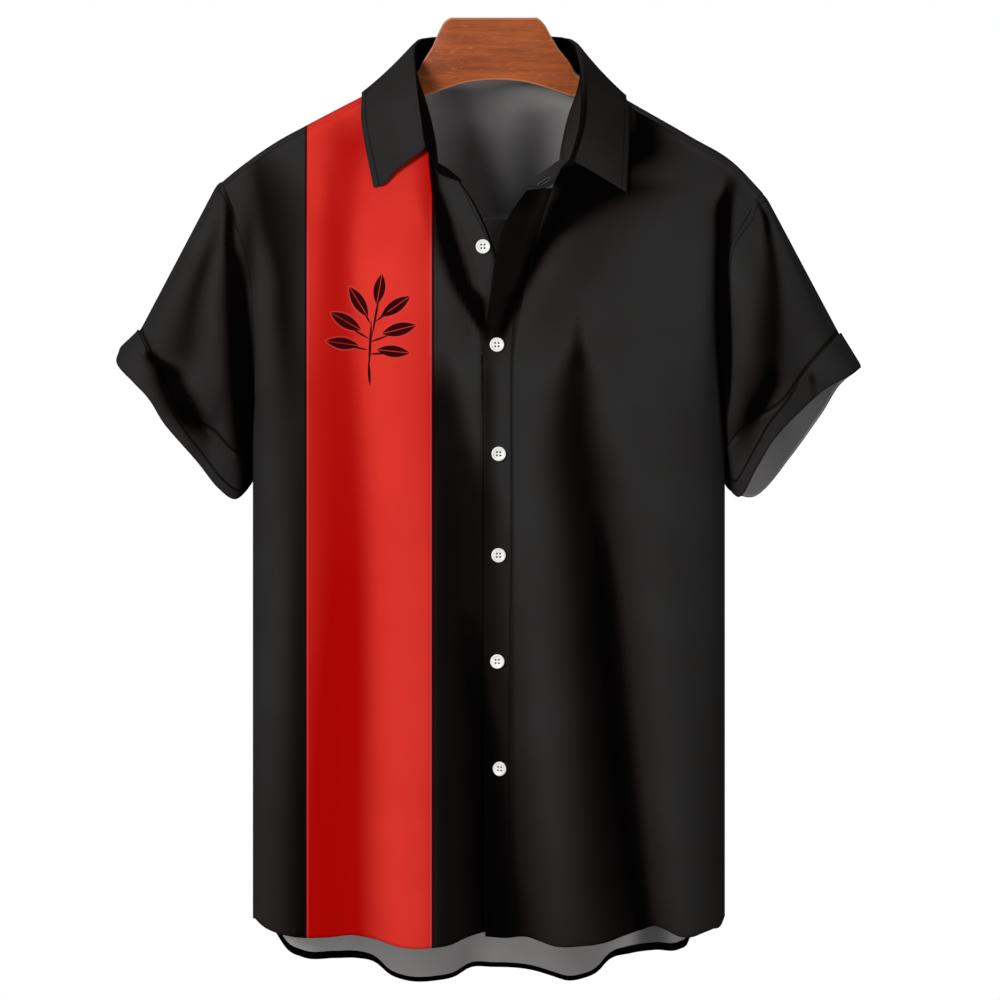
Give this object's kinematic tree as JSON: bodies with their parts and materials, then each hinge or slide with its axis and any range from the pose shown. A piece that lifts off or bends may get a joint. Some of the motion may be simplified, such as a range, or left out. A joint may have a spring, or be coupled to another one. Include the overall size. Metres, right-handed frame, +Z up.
{
  "type": "short-sleeved shirt on a wooden hanger",
  "caption": "Black short-sleeved button shirt with one red panel stripe, turned-up cuffs and an open collar, hung on a wooden hanger.",
  "frame": {"origin": "middle of the hanger's flat top, where the hanger is held", "axes": "+Z up, -Y out of the shirt's front, +X to the wearer's left (right in a front view)"},
  "size_m": [0.6505, 0.1634, 0.8372],
  "materials": {
    "black_cloth": "matt woven",
    "striped_cloth": "matt woven, black with one red stripe",
    "button_resin": "glossy",
    "hanger_wood": "satin"
  },
  "bodies": {
    "root": {"front_right": "striped_cloth", "front_left": "black_cloth", "band_right": "black_cloth", "band_left": "black_cloth", "back": "black_cloth", "yoke": "black_cloth", "sleeve_right": "black_cloth", "sleeve_left": "black_cloth", "cuff_right": "black_cloth", "cuff_left": "black_cloth", "collar_stand": "black_cloth", "collar_leaf": "black_cloth", "button_1": "button_resin", "button_2": "button_resin", "button_3": "button_resin", "button_4": "button_resin", "button_5": "button_resin", "button_6": "button_resin", "hanger": "hanger_wood"}
  },
  "joints": []
}
